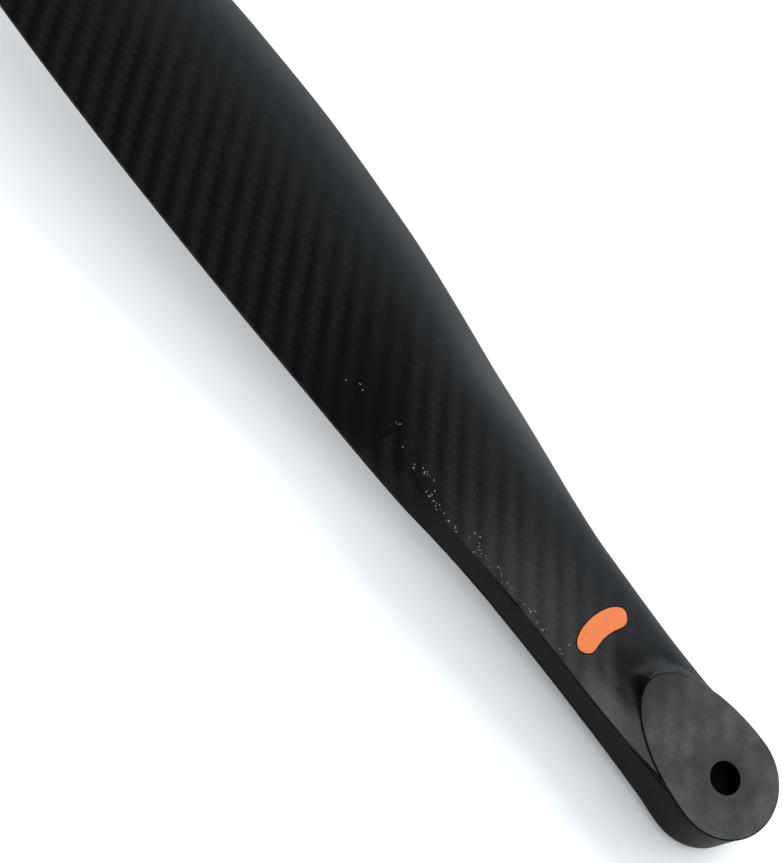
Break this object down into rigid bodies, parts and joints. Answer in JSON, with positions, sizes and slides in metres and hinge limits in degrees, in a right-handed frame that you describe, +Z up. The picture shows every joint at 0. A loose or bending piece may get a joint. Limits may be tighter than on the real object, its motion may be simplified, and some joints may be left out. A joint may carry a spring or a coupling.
{
  "type": "folding propeller blade",
  "caption": "Folding carbon-fibre propeller blade with a round pivot eye, a raised flat seat, a straight neck and a twisted aerofoil.",
  "frame": {"origin": "centre of the pivot bore at the flat underside of the root", "axes": "+Z up along the pivot bore, out of the seat; +X along the blade to the tip; +Y towards the trailing edge"},
  "size_m": [0.3722, 0.0496, 0.014],
  "materials": {
    "carbon_skin": "2/2 twill carbon cloth under a thin clear resin",
    "root_laminate": "solid carbon laminate, moulded smooth at the sides and sanded flat on the seat",
    "foam": "rigid closed-cell foam, hidden",
    "spar": "unidirectional carbon, hidden",
    "mark_paint": "satin orange paint"
  },
  "bodies": {
    "root": {"root_block": "root_laminate", "upper_skin": "carbon_skin", "lower_skin": "carbon_skin", "upper_spar_cap": "spar", "lower_spar_cap": "spar", "foam_core": "foam", "leading_edge_filler": "root_laminate", "tip_block": "root_laminate", "colour_mark": "mark_paint"}
  },
  "joints": []
}
